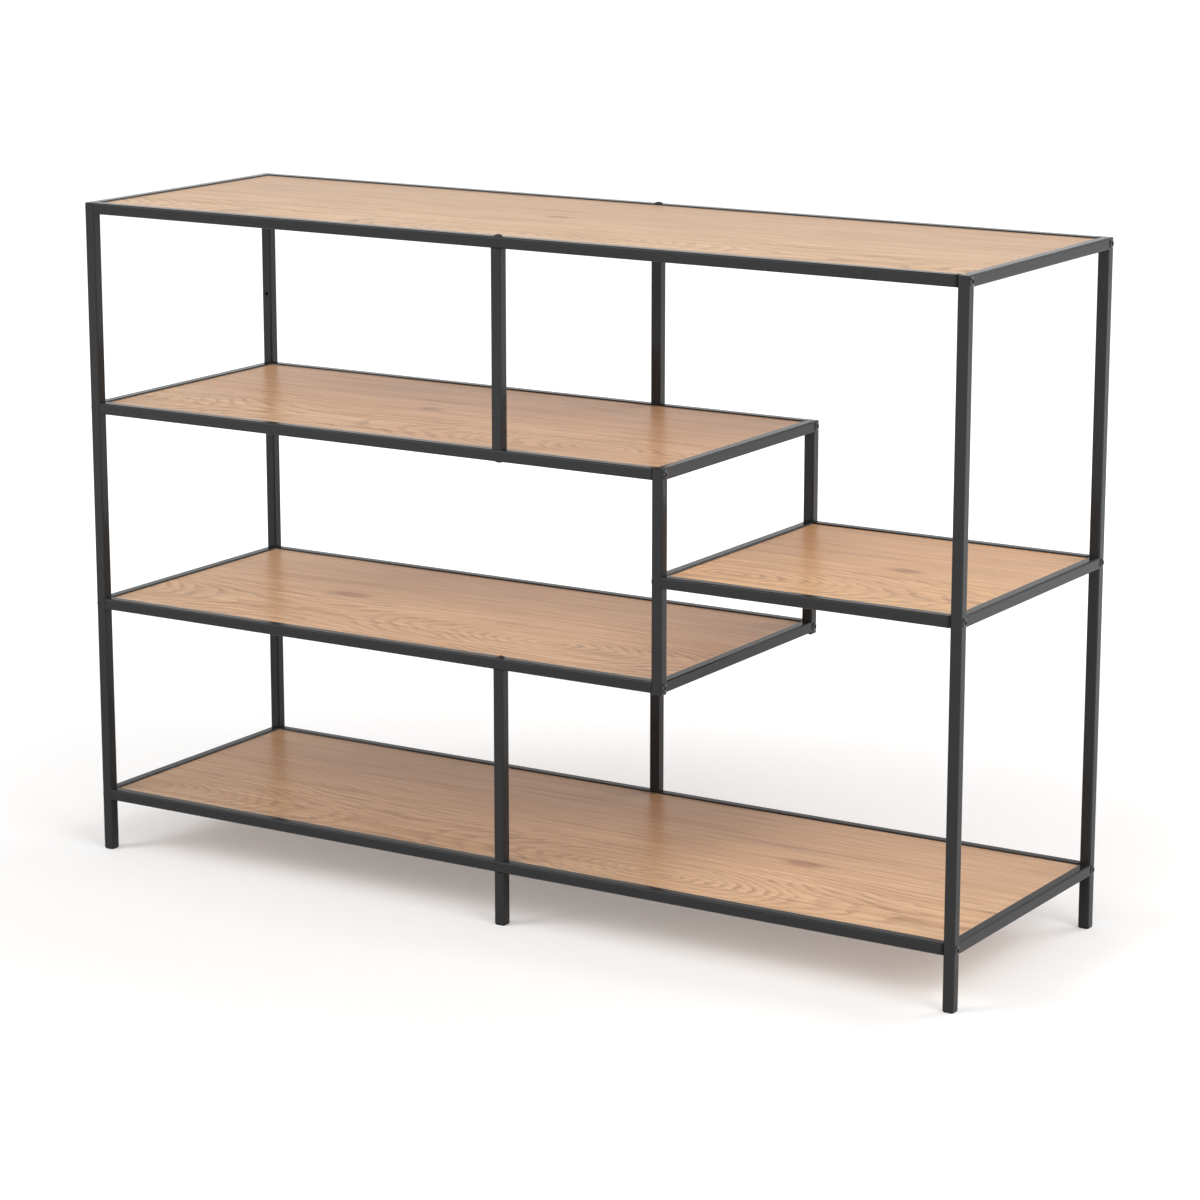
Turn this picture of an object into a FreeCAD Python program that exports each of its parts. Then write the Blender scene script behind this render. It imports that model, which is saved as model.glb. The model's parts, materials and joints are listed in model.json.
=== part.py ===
"""A staircase bookshelf: square steel tube frames bolted together, with five boards set inside the rails.

Millimetres. +X is to the right as seen from the front, +Y to the back, +Z up.
The origin is on the floor, under the middle of the shelf.
"""

import FreeCAD, Part
import math
import os
import re

import Sketcher
from FreeCAD import Placement, Rotation, Vector

# Driving sizes: name, value in millimetres, what it measures
SIZES = (
    ("overall_width", 1140, "outer face to outer face of the end frames"),
    ("overall_depth", 350, "front face to rear face of the tubes"),
    ("leg_height", 62, "floor to the underside of the bottom rails"),
    ("shelf_pitch", 235, "underside of a rail to the underside of the next one up"),
    ("small_shelf_rise", 117.5, "underside of the lower rails to the underside of the small shelf's rails"),
    ("middle_frame_offset", 205, "middle of the shelf to the middle of the hanging frame's tubes"),
    ("tube_size", 13, "outer side of the square tube"),
    ("tube_wall", 1, "wall of the square tube"),
    ("tube_corner", 2, "outer corner radius of the square tube"),
    ("end_plate", 2, "plate welded into the closed end of a post"),
    ("end_bevel", 0.8, "ground bevel round the closed end of a post"),
    ("board_thickness", 8, "boards"),
    ("board_clearance", 0.5, "gap between a board's edges and the tubes around it"),
    ("tab_thickness", 1.5, "steel tabs that carry the boards"),
    ("tab_length", 24, "tab, along its rail"),
    ("tab_reach", 16, "tab, from its rail in under the board"),
    ("tab_inset", 110, "end of a board's bay to the middle of its first tab"),
    ("bolt_shank", 6, "shank diameter of the joint bolts"),
    ("bolt_length", 25, "bolt, from under its head to its tip"),
    ("bolt_head", 10, "head diameter"),
    ("bolt_head_height", 2, "low round head"),
    ("socket_size", 4.6, "hexagon socket in the head, across its corners"),
    ("socket_depth", 1.4, "hexagon socket in the head"),
    ("bolt_clearance", 0.25, "gap round a shank in a drilled tube, spacer or nut block"),
    ("stud_length", 37, "threaded rod from a centre post through the bottom rail into its leg"),
    ("nut_length", 14, "threaded block in the end of a rail or centre post"),
    ("plug_clearance", 0.1, "gap between a nut block or plug and the inside of its tube"),
    ("spacer_thickness", 3, "black spacer between a rail's right end and the right frame"),
    ("foot_flange", 2, "plastic foot below the end of its tube"),
    ("foot_bevel", 0.8, "bevel round the sole of a foot"),
    ("foot_plug", 12, "plastic foot inside its tube"),
    ("wall_hole", 5, "diameter of the wall fixing hole"),
    ("wall_hole_height", 632, "floor to the wall fixing hole"),
)

SIZE_NAMES = {name for name, value, note in SIZES}

doc = FreeCAD.newDocument("staircase_bookshelf")
sheet = doc.addObject("Spreadsheet::Sheet", "sizes")
for row, (name, value, note) in enumerate(SIZES, 1):
    sheet.set(f"A{row}", name)
    sheet.set(f"B{row}", str(value))
    sheet.set(f"C{row}", note)
    sheet.setAlias(f"B{row}", name)
doc.recompute()


def formula(text):
    """Size names in a formula, as references to the sheet's cells."""

    def cell(word):
        if word.group() not in SIZE_NAMES:
            raise KeyError(f"no size is named {word.group()}")
        return "sizes." + word.group()

    return re.sub(r"[a-z_]+", cell, text)


def bind(thing, prop, text):
    """A property that follows a formula of sizes."""
    thing.setExpression(prop, formula(text))


# Heights of the rails' undersides
LEVELS = {
    "bottom": "leg_height",
    "lower": "leg_height + shelf_pitch",
    "small": "leg_height + shelf_pitch + small_shelf_rise",
    "upper": "leg_height + 2 * shelf_pitch",
    "top": "leg_height + 3 * shelf_pitch",
}
TOP_OF_UNIT = f"{LEVELS['top']} + tube_size"

# Middles of the tubes, from side to side and from front to back
COLUMNS = {
    "left": "-(overall_width - tube_size) / 2",
    "centre": "0",
    "middle": "middle_frame_offset",
    "right": "(overall_width - tube_size) / 2",
}
ROWS = {
    "front": "-(overall_depth - tube_size) / 2",
    "rear": "(overall_depth - tube_size) / 2",
}

# Left end and right end of each shelf's bay, between the posts
LEFT_END = "-overall_width / 2 + tube_size"
RIGHT_END = "overall_width / 2 - tube_size"
BAYS = {
    "top": (LEFT_END, RIGHT_END),
    "upper": (LEFT_END, "middle_frame_offset - tube_size / 2"),
    "small": ("middle_frame_offset + tube_size / 2", RIGHT_END),
    "lower": (LEFT_END, "middle_frame_offset - tube_size / 2"),
    "bottom": (LEFT_END, RIGHT_END),
}

# Levels of the depth rails in each welded frame
FRAMES = {
    "left": ("top", "upper", "lower", "bottom"),
    "middle": ("upper", "small", "lower"),
    "right": ("top", "small", "bottom"),
}

INNER_DEPTH = "overall_depth - 2 * tube_size"
MID_TUBE = "tube_size / 2"
BORE = "tube_size - 2 * tube_wall"
PLUG = "tube_size - 2 * tube_wall - 2 * plug_clearance"
SHANK = "bolt_shank / 2"
SHANK_HOLE = "bolt_shank / 2 + bolt_clearance"

# The many shanks and their holes have flats in place of a circle, which keeps the faces few
SHANK_FLATS = 6
HEAD_FLATS = 8

# Turns of a piece made along +Z
UP = Rotation()
DOWN = Rotation(Vector(1, 0, 0), 180)
RIGHT = Rotation(Vector(0, 1, 0), 90)
LEFT = Rotation(Vector(0, 1, 0), -90)
BACK = Rotation(Vector(1, 0, 0), -90)
HALF_TURN = Rotation(Vector(0, 0, 1), 180)

# Sketches are drawn at this size before their dimensions are bound
DRAWN_SIDE = 10
DRAWN_RADIUS = 1

nodes = []


def new_body(label):
    body = doc.addObject("PartDesign::Body", label)
    body.Label = label
    return body


def new_sketch(body, name, plane, along="0", up="0", out="0"):
    """A sketch on one of the body's own origin planes, moved along, up and out of that plane."""
    sketch = body.newObject("Sketcher::SketchObject", f"{body.Name}_{name}")
    support = [part for part in body.Origin.OriginFeatures if part.Role == plane]
    sketch.AttachmentSupport = [(support[0], "")]
    sketch.MapMode = "FlatFace"
    bind(sketch, "AttachmentOffset.Base.x", along)
    bind(sketch, "AttachmentOffset.Base.y", up)
    bind(sketch, "AttachmentOffset.Base.z", out)
    return sketch


def start_of(line):
    """The first point of a line or an arc, as a constraint names it."""
    return line, 1


def end_of(line):
    return line, 2


def centre_of(arc):
    return arc, 3


def sketch_origin():
    return start_of(-1)


def sketch_axis(across):
    """A sketch's own axis: the one across it or the upright one."""
    return -1 if across else -2


def constrain(sketch, kind, *where):
    return sketch.addConstraint(Sketcher.Constraint(kind, *where))


def dimension(sketch, text, kind, *where):
    """A constraint whose value follows a formula."""
    number = constrain(sketch, kind, *where)
    bind(sketch, f"Constraints[{number}]", text)


def draw_loop(sketch, points):
    """Straight lines from point to point and back to the first. Returns the number of the first line."""
    first = sketch.GeometryCount
    count = len(points)
    for index, point in enumerate(points):
        sketch.addGeometry(Part.LineSegment(point, points[(index + 1) % count]))
    for index in range(count):
        following = first + (index + 1) % count
        constrain(sketch, "Coincident", *end_of(first + index), *start_of(following))
    return first


def draw_rectangle(sketch, along, up):
    """A rectangle centred on the sketch's origin."""
    half = DRAWN_SIDE / 2
    first = draw_loop(
        sketch,
        [Vector(-half, -half), Vector(half, -half), Vector(half, half), Vector(-half, half)],
    )
    for index in range(4):
        constrain(sketch, "Vertical" if index % 2 else "Horizontal", first + index)
    constrain(sketch, "Symmetric", *start_of(first), *start_of(first + 2), *sketch_origin())
    dimension(sketch, along, "DistanceX", *start_of(first), *end_of(first), DRAWN_SIDE)
    dimension(sketch, up, "DistanceY", *start_of(first + 1), *end_of(first + 1), DRAWN_SIDE)


def draw_cut_square(sketch):
    """The tube's outer section centred on the sketch's origin, with its corners cut off straight."""
    half = DRAWN_SIDE / 2
    flat = half - DRAWN_RADIUS
    quarter_turn = Rotation(Vector(0, 0, 1), 90)
    points = [Vector(-flat, -half), Vector(flat, -half)]
    for corner in range(3):
        points += [quarter_turn.multVec(point) for point in points[-2:]]
    bottom = draw_loop(sketch, points)
    right = bottom + 2
    for line in range(bottom, bottom + 4):
        constrain(sketch, "Symmetric", *start_of(line), *start_of(line + 4), *sketch_origin())
    constrain(sketch, "Horizontal", bottom)
    constrain(sketch, "Vertical", right)
    flat_side = "tube_size - 2 * tube_corner"
    dimension(sketch, flat_side, "DistanceX", *start_of(bottom), *end_of(bottom), 2 * flat)
    dimension(sketch, flat_side, "DistanceY", *start_of(right), *end_of(right), 2 * flat)
    for cut_off, from_left in ((bottom + 1, True), (right + 1, False)):
        low, high = start_of(cut_off), end_of(cut_off)
        left_to_right = (*low, *high) if from_left else (*high, *low)
        dimension(sketch, "tube_corner", "DistanceX", *left_to_right, DRAWN_RADIUS)
        dimension(sketch, "tube_corner", "DistanceY", *low, *high, DRAWN_RADIUS)


def draw_tube_outline(sketch):
    """The tube's outer section centred on the sketch's origin: four sides and four round corners."""
    half = DRAWN_SIDE / 2
    flat = half - DRAWN_RADIUS
    quarter_turn = Rotation(Vector(0, 0, 1), 90)
    first = sketch.GeometryCount
    start, end, centre = Vector(-flat, -half), Vector(flat, -half), Vector(flat, -flat)
    corners = []
    for index in range(4):
        sketch.addGeometry(Part.LineSegment(start, end))
        corners.append(Part.Circle(centre, Vector(0, 0, 1), DRAWN_RADIUS))
        start, end, centre = [quarter_turn.multVec(point) for point in (start, end, centre)]
    arcs = first + 4
    for index, circle in enumerate(corners):
        angle = (index - 1) * math.pi / 2
        sketch.addGeometry(Part.ArcOfCircle(circle, angle, angle + math.pi / 2))
    for index in range(4):
        constrain(sketch, "Tangent", *end_of(first + index), *start_of(arcs + index))
        constrain(sketch, "Tangent", *end_of(arcs + index), *start_of(first + (index + 1) % 4))
        constrain(sketch, "Vertical" if index % 2 else "Horizontal", first + index)
    for index in range(3):
        constrain(sketch, "Equal", arcs + index, arcs + index + 1)
    constrain(sketch, "Symmetric", *centre_of(arcs), *centre_of(arcs + 2), *sketch_origin())
    flat_side = "tube_size - 2 * tube_corner"
    dimension(sketch, "tube_corner", "Radius", arcs, DRAWN_RADIUS)
    dimension(sketch, flat_side, "DistanceX", *start_of(first), *end_of(first), 2 * flat)
    dimension(sketch, flat_side, "DistanceY", *start_of(first + 1), *end_of(first + 1), 2 * flat)


def draw_circle(sketch, radius):
    """A circle centred on the sketch's origin. Returns its number."""
    circle = sketch.addGeometry(Part.Circle(Vector(), Vector(0, 0, 1), DRAWN_RADIUS))
    dimension(sketch, radius, "Radius", circle, DRAWN_RADIUS)
    constrain(sketch, "Coincident", *centre_of(circle), *sketch_origin())
    return circle


def draw_polygon(sketch, flats, radius, corner):
    """A regular polygon centred on the sketch's origin, with a corner straight out along the vector given."""
    circle = draw_circle(sketch, radius)
    sketch.setConstruction(circle, True)
    step = Rotation(Vector(0, 0, 1), 360 / flats)
    points = [corner * DRAWN_RADIUS]
    while len(points) < flats:
        points.append(step.multVec(points[-1]))
    first = draw_loop(sketch, points)
    for index in range(flats):
        constrain(sketch, "PointOnObject", *start_of(first + index), circle)
    for index in range(1, flats):
        constrain(sketch, "Equal", first, first + index)
    constrain(sketch, "PointOnObject", *start_of(first), sketch_axis(across=corner.x != 0))


def pad(body, sketch, length, reverse=False):
    feature = body.newObject("PartDesign::Pad", f"{sketch.Name}_pad")
    feature.Profile = sketch
    feature.Reversed = reverse
    bind(feature, "Length", length)
    return feature


def cut(body, sketch, length, reverse=False):
    """A pocket against its sketch's normal, or along it if reversed."""
    feature = body.newObject("PartDesign::Pocket", f"{sketch.Name}_cut")
    feature.Profile = sketch
    feature.Reversed = reverse
    bind(feature, "Length", length)


def cut_through(body, sketch):
    """A pocket right through the body, both ways from its sketch."""
    feature = body.newObject("PartDesign::Pocket", f"{sketch.Name}_cut")
    feature.Profile = sketch
    feature.Type = "ThroughAll"
    feature.SideType = "Symmetric"


def bevel(body, feature, outward, size):
    """A chamfer round the face of a feature that lies furthest along outward."""
    doc.recompute()
    reach = [face.CenterOfMass.dot(outward) for face in feature.Shape.Faces]
    furthest = reach.index(max(reach)) + 1
    chamfer = body.newObject("PartDesign::Chamfer", f"{feature.Name}_bevel_{furthest}")
    chamfer.Base = (feature, [f"Face{furthest}"])
    bind(chamfer, "Size", size)
    return chamfer


def place(thing, x, y, z, turn=UP):
    thing.Placement = Placement(Vector(), turn)
    bind(thing, "Placement.Base.x", x)
    bind(thing, "Placement.Base.y", y)
    bind(thing, "Placement.Base.z", z)


def make_tube(label, length, bolt_holes=(), overrun="0", closed_start=False, closed_end=False):
    """A square tube along +Z from its own origin, drilled through for a bolt at each height given.

    overrun lengthens it at both ends, for ends that are shaped afterwards.
    A closed end has its plate welded in.
    """
    body = new_body(label)
    outline = new_sketch(body, "outline", "XY_Plane", out=f"-({overrun})")
    draw_tube_outline(outline)
    shell = pad(body, outline, f"{length} + 2 * ({overrun})")
    if closed_end:
        shell = bevel(body, shell, Vector(0, 0, 1), "end_bevel")
    if closed_start:
        bevel(body, shell, Vector(0, 0, -1), "end_bevel")
    start_plate = "end_plate" if closed_start else "0"
    end_plate = "end_plate" if closed_end else "0"
    bore = new_sketch(body, "bore", "XY_Plane", out=f"{start_plate} - ({overrun})")
    draw_rectangle(bore, BORE, BORE)
    cut(body, bore, f"{length} + 2 * ({overrun}) - {start_plate} - {end_plate}", reverse=True)
    for number, height in enumerate(bolt_holes, 1):
        drilling = new_sketch(body, f"bolt_hole_{number}", "YZ_Plane", up=height)
        draw_polygon(drilling, SHANK_FLATS, SHANK_HOLE, Vector(0, 1))
        cut_through(body, drilling)
    nodes.append(body)
    return body


def make_post(label, column, row, start, end, bolt_levels=(), **ends):
    """An upright tube between two heights, drilled for the bolts of the rails at the given levels."""
    heights = [f"{LEVELS[level]} + {MID_TUBE} - ({start})" for level in bolt_levels]
    body = make_tube(label, f"{end} - ({start})", heights, **ends)
    place(body, COLUMNS[column], ROWS[row], start)
    return body


def make_depth_rail(label, column, level):
    """A tube from the front post to the rear post of a welded frame.

    Its ends are coped to the round edges of the posts, so that the sides of the joint run flush.
    """
    body = make_tube(label, INNER_DEPTH, overrun="tube_corner")
    post_middles = {"front": f"-{MID_TUBE}", "rear": f"{INNER_DEPTH} + {MID_TUBE}"}
    for row, post_middle in post_middles.items():
        cope = new_sketch(body, f"{row}_cope", "XZ_Plane", up=post_middle)
        draw_tube_outline(cope)
        cut_through(body, cope)
    place(body, COLUMNS[column], f"-({INNER_DEPTH}) / 2", f"{LEVELS[level]} + {MID_TUBE}", BACK)


def rail_end(right):
    """Where a long rail stops at the right: short of the right frame there is room for a spacer."""
    return f"{right} - spacer_thickness" if right == RIGHT_END else right


def make_long_rail(label, row, level):
    """A tube along the front or the rear, drilled from top to bottom where a centre post is bolted to it."""
    left, right = BAYS[level]
    centre_hole = () if level == "small" else (f"-({left})",)
    body = make_tube(label, f"{rail_end(right)} - ({left})", centre_hole)
    place(body, left, ROWS[row], f"{LEVELS[level]} + {MID_TUBE}", RIGHT)


def make_board(label, level):
    """A board set between the rails of its bay, on the tabs."""
    left, right = BAYS[level]
    body = new_body(label)
    outline = new_sketch(body, "outline", "XY_Plane")
    length = f"{right} - ({left}) - 2 * board_clearance"
    draw_rectangle(outline, length, f"{INNER_DEPTH} - 2 * board_clearance")
    pad(body, outline, "board_thickness")
    place(body, f"({left} + {right}) / 2", "0", f"{LEVELS[level]} + tube_corner + tab_thickness")
    nodes.append(body)


def make_bolt():
    """A bolt along +Z with the underside of its low head on the origin and a hexagon socket in the head."""
    body = new_body("joint_bolt")
    head = new_sketch(body, "head", "XY_Plane")
    draw_polygon(head, HEAD_FLATS, "bolt_head / 2", Vector(1, 0))
    pad(body, head, "bolt_head_height")
    shank = new_sketch(body, "shank", "XY_Plane")
    draw_polygon(shank, SHANK_FLATS, SHANK, Vector(1, 0))
    pad(body, shank, "bolt_length", reverse=True)
    socket = new_sketch(body, "socket", "XY_Plane", out="bolt_head_height")
    draw_polygon(socket, SHANK_FLATS, "socket_size / 2", Vector(1, 0))
    cut(body, socket, "socket_depth")
    return body


def make_stud():
    """A threaded rod along Z with its middle on the origin."""
    body = new_body("joint_stud")
    section = new_sketch(body, "section", "XY_Plane", out="-stud_length / 2")
    draw_polygon(section, SHANK_FLATS, SHANK, Vector(1, 0))
    pad(body, section, "stud_length")
    return body


def make_nut_block():
    """A threaded block in a tube's end, from the end at the origin down."""
    body = new_body("nut_block")
    section = new_sketch(body, "section", "XY_Plane")
    draw_rectangle(section, PLUG, PLUG)
    draw_polygon(section, SHANK_FLATS, SHANK_HOLE, Vector(1, 0))
    pad(body, section, "nut_length", reverse=True)
    return body


def make_spacer():
    """A spacer as wide as the tube with a bolt hole, from the origin up."""
    body = new_body("rail_spacer")
    section = new_sketch(body, "section", "XY_Plane")
    draw_cut_square(section)
    draw_polygon(section, SHANK_FLATS, SHANK_HOLE, Vector(1, 0))
    pad(body, section, "spacer_thickness")
    return body


def make_foot():
    """A plastic foot: a flange from the origin down, and a plug up into the tube."""
    body = new_body("leg_foot")
    section = new_sketch(body, "flange", "XY_Plane")
    draw_cut_square(section)
    flange = pad(body, section, "foot_flange", reverse=True)
    bevel(body, flange, Vector(0, 0, -1), "foot_bevel")
    plug = new_sketch(body, "plug", "XY_Plane")
    draw_rectangle(plug, PLUG, PLUG)
    pad(body, plug, "foot_plug")
    return body


def make_tab():
    """A steel tab on the flat of a tube's side, reaching out in +Y, with its underside on the origin."""
    body = new_body("board_tab")
    outline = new_sketch(body, "outline", "XY_Plane", up="tab_reach / 2")
    draw_rectangle(outline, "tab_length", "tab_reach")
    pad(body, outline, "tab_thickness")
    return body


def make_group(label, piece, places):
    """Copies of one piece at many places, as one node of separate solids."""
    copies = []
    for number, (x, y, z, turn) in enumerate(places, 1):
        copy = doc.addObject("App::Link", f"{label}_{number}")
        copy.LinkedObject = piece
        copy.LinkTransform = False
        place(copy, x, y, z, turn)
        copies.append(copy)
    group = doc.addObject("Part::Compound", label)
    group.Label = label
    group.Links = copies
    nodes.append(group)


# Welded frames: one at each end, and one hanging between the upper and the lower shelf
for row in ROWS:
    for column in ("left", "right"):
        post = make_post(
            f"{column}_{row}_post",
            column,
            row,
            "foot_flange",
            TOP_OF_UNIT,
            FRAMES[column],
            closed_end=True,
        )
        if (column, row) == ("left", "rear"):
            fixing = new_sketch(post, "wall_hole", "XZ_Plane", up="wall_hole_height - foot_flange")
            draw_circle(fixing, "wall_hole / 2")
            cut_through(post, fixing)
    make_post(
        f"middle_{row}_post",
        "middle",
        row,
        f"{LEVELS['lower']} - end_plate",
        f"{LEVELS['upper']} + tube_size",
        FRAMES["middle"],
        closed_start=True,
        closed_end=True,
    )
for column, levels in FRAMES.items():
    for level in levels:
        make_depth_rail(f"{column}_{level}_depth_rail", column, level)

# Long rails, and the posts and legs on the centre line
for level in LEVELS:
    for row in ROWS:
        make_long_rail(f"{level}_{row}_rail", row, level)
for row in ROWS:
    for name, below, above in (("lower", "bottom", "lower"), ("upper", "upper", "top")):
        start = f"{LEVELS[below]} + tube_size"
        make_post(f"{name}_centre_{row}_post", "centre", row, start, LEVELS[above])
    make_post(f"centre_{row}_leg", "centre", row, "foot_flange", LEVELS["bottom"])

for level in LEVELS:
    make_board(f"{level}_board", level)

# Each end of a long rail: a bolt through the post from its far face, into a nut block in the rail
rail_bolts = []
rail_nuts = []
rail_spacers = []
for level, (left, right) in BAYS.items():
    height = f"{LEVELS[level]} + {MID_TUBE}"
    for middle in ROWS.values():
        rail_bolts.append((f"{left} - tube_size", middle, height, LEFT))
        rail_bolts.append((f"{right} + tube_size", middle, height, RIGHT))
        rail_nuts.append((left, middle, height, LEFT))
        rail_nuts.append((rail_end(right), middle, height, RIGHT))
        if right == RIGHT_END:
            rail_spacers.append((rail_end(right), middle, height, RIGHT))

# Centre posts and legs: bolts through the long rails, and a stud through each bottom rail
centre_bolts = []
centre_nuts = []
centre_studs = []
for middle in ROWS.values():
    centre_bolts.append(("0", middle, TOP_OF_UNIT, UP))
    centre_bolts.append(("0", middle, LEVELS["upper"], DOWN))
    centre_bolts.append(("0", middle, f"{LEVELS['lower']} + tube_size", UP))
    centre_studs.append(("0", middle, f"{LEVELS['bottom']} + {MID_TUBE}", UP))
    for level in ("top", "lower", "bottom"):
        centre_nuts.append(("0", middle, LEVELS[level], UP))
    for level in ("upper", "bottom"):
        centre_nuts.append(("0", middle, f"{LEVELS[level]} + tube_size", DOWN))

feet = []
for middle in ROWS.values():
    for column in ("left", "centre", "right"):
        feet.append((COLUMNS[column], middle, "foot_flange", UP))

# Tabs near both ends of each bay, and one in the middle of all but the small one
tabs = []
for level, (left, right) in BAYS.items():
    along_bay = [f"{left} + tab_inset", f"{right} - tab_inset"]
    if level != "small":
        along_bay.append(f"({left} + {right}) / 2")
    height = f"{LEVELS[level]} + tube_corner"
    for x in along_bay:
        tabs.append((x, f"-({INNER_DEPTH}) / 2", height, UP))
        tabs.append((x, f"({INNER_DEPTH}) / 2", height, HALF_TURN))

bolt = make_bolt()
nut_block = make_nut_block()
make_group("rail_bolts", bolt, rail_bolts)
make_group("rail_nut_blocks", nut_block, rail_nuts)
make_group("rail_end_spacers", make_spacer(), rail_spacers)
make_group("centre_post_bolts", bolt, centre_bolts)
make_group("centre_post_nut_blocks", nut_block, centre_nuts)
make_group("centre_leg_studs", make_stud(), centre_studs)
make_group("foot_plugs", make_foot(), feet)
make_group("board_tabs", make_tab(), tabs)

doc.recompute()

for thing in doc.Objects:
    if "Invalid" in thing.State or "Error" in thing.State:
        raise RuntimeError(f"{thing.Label} failed: {thing.State}")
    if thing.TypeId == "PartDesign::Pocket" and thing.Shape.Volume >= thing.BaseFeature.Shape.Volume:
        raise RuntimeError(f"{thing.Label} cuts nothing")
for node in nodes:
    if node.Shape.isNull() or not node.Shape.isValid():
        raise RuntimeError(f"{node.Label} has no valid shape")

os.makedirs("parts", exist_ok=True)
for node in nodes:
    node.Shape.exportStep(f"parts/{node.Label}.step")

whole = Part.makeCompound([node.Shape for node in nodes]).BoundBox
print(f"{len(nodes)} nodes, {whole.XLength:.1f} x {whole.YLength:.1f} x {whole.ZLength:.1f} mm")
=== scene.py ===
# %% [markdown]
# # A staircase bookshelf, dressed in Blender
#
# The shelf is a knock-down piece of furniture: slim square steel tubes, powder coated in anthracite,
# carry five boards with an oak decor. The construction is already there, piece by piece and at its real
# size. This lesson adds what the eye sees: the coat on the steel, the oak figure on the boards, and the
# small fasteners with their sockets and threads. Everything is in metres, with +Z up.

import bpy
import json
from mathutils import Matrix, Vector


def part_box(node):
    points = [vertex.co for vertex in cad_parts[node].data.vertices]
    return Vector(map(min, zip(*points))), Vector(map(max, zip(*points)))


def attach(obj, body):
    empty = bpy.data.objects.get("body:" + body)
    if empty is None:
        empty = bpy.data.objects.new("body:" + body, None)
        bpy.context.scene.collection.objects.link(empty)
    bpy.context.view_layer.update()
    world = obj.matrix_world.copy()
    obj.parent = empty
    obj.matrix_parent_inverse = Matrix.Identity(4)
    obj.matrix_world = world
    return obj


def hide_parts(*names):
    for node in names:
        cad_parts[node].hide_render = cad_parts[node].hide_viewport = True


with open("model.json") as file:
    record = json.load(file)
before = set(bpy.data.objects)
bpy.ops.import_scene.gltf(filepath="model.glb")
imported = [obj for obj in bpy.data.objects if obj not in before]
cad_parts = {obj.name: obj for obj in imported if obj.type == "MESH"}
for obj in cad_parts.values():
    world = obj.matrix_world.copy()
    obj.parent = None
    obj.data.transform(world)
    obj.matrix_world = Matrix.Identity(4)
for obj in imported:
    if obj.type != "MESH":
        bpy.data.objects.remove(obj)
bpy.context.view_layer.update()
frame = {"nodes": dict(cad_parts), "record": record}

import json
import math

import bmesh
import bpy
import numpy as np

nodes = frame["nodes"]
scene = bpy.context.scene

# %% [markdown]
# ## What the lesson needs to know about the construction
#
# Each shelf has a front and a rear rail, and runs between two welded frames. The places of the bolts
# follow from that, so a few names are enough: which frame each shelf starts at and which it ends at.

# %% Names of the construction
MM = 0.001
ROWS = ("front", "rear")
SHELVES = {
    "top": ("left", "right"),
    "upper": ("left", "middle"),
    "small": ("middle", "right"),
    "lower": ("left", "middle"),
    "bottom": ("left", "right"),
}


def middle(node):
    """The middle of a node's box, as an array."""
    low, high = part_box(node)
    return np.array((low + high) / 2)


for shelf in SHELVES:
    low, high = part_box(f"{shelf}_board")
    print(f"{shelf} board: {high.x - low.x:.3f} by {high.y - low.y:.3f} m, its top at {high.z:.4f} m")

# %% [markdown]
# ## The camera
#
# The photograph was taken from the right, a little above the top board, with a long lens from about four
# metres. A camera can be aimed by a constraint, by eye, or by numbers solved from the picture. Solved
# numbers are used here, because the tubes give many straight lines to solve from.

# %% Set the camera
CAMERA_PLACE = (2.238, -3.554, 1.315)
CAMERA_TURN = 31.91
CAMERA_TILT = 13.04
CAMERA_LENS = 112.9
CAMERA_SIGHT = 100.0

camera_data = bpy.data.cameras.new("camera")
camera_data.lens = CAMERA_LENS
camera_data.clip_end = CAMERA_SIGHT
camera = bpy.data.objects.new("camera", camera_data)
camera.location = CAMERA_PLACE
camera.rotation_euler = (math.radians(90 - CAMERA_TILT), 0, math.radians(CAMERA_TURN))
scene.collection.objects.link(camera)
scene.camera = camera
print(f"camera {math.dist(CAMERA_PLACE, middle('lower_board')):.2f} m from the shelf")

# %% [markdown]
# ## Building shaders with few words
#
# A shader is a graph of nodes. Typed out node by node it grows long, so a few helpers do the typing: one
# puts a node into a tree and feeds its sockets, one does sums, one puts in a noise that is stretched along
# the piece, one eases a value from one level to another, and one mixes colours.

# %% Helpers for shader trees


def put(tree, kind, feeds=None, **settings):
    """A new node with its settings, whose sockets are fed by other sockets or set to values."""
    node = tree.nodes.new(kind)
    for name, value in settings.items():
        setattr(node, name, value)
    for socket, feed in (feeds or {}).items():
        if isinstance(feed, bpy.types.NodeSocket):
            tree.links.new(feed, node.inputs[socket])
        else:
            node.inputs[socket].default_value = feed
    return node


def sums(tree, operation, *terms):
    """The outcome of a Math node."""
    return put(tree, "ShaderNodeMath", dict(enumerate(terms)), operation=operation).outputs[0]


def noise(tree, place, size, seed, detail=2.0):
    """Smooth noise from 0 to 1 whose lumps are as large as size, in the units of place.

    A size of 0 means that the noise doesn't change in that direction.
    """
    scale = [1 / length if length else 0 for length in size]
    spread = put(tree, "ShaderNodeMapping", {"Vector": place, "Scale": scale}).outputs[0]
    feeds = {"Vector": spread, "W": seed, "Scale": 1.0, "Detail": detail}
    return put(tree, "ShaderNodeTexNoise", feeds, noise_dimensions="4D").outputs[0]


def ease(tree, value, low, high, to_low=0.0, to_high=1.0):
    """The value eased from one level to another as it goes from low to high."""
    feeds = {"Value": value, "From Min": low, "From Max": high, "To Min": to_low, "To Max": to_high}
    return put(tree, "ShaderNodeMapRange", feeds, interpolation_type="SMOOTHSTEP").outputs[0]


def mix_colours(tree, share, first, second, blend="MIX"):
    """The first colour mixed with the second by a share from 0 to 1.

    A Mix node has sockets for values and vectors too: its colours go in at 6 and 7 and come out at 2.
    """
    feeds = {0: share, 6: first, 7: second}
    return put(tree, "ShaderNodeMix", feeds, data_type="RGBA", blend_type=blend).outputs[2]


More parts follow.
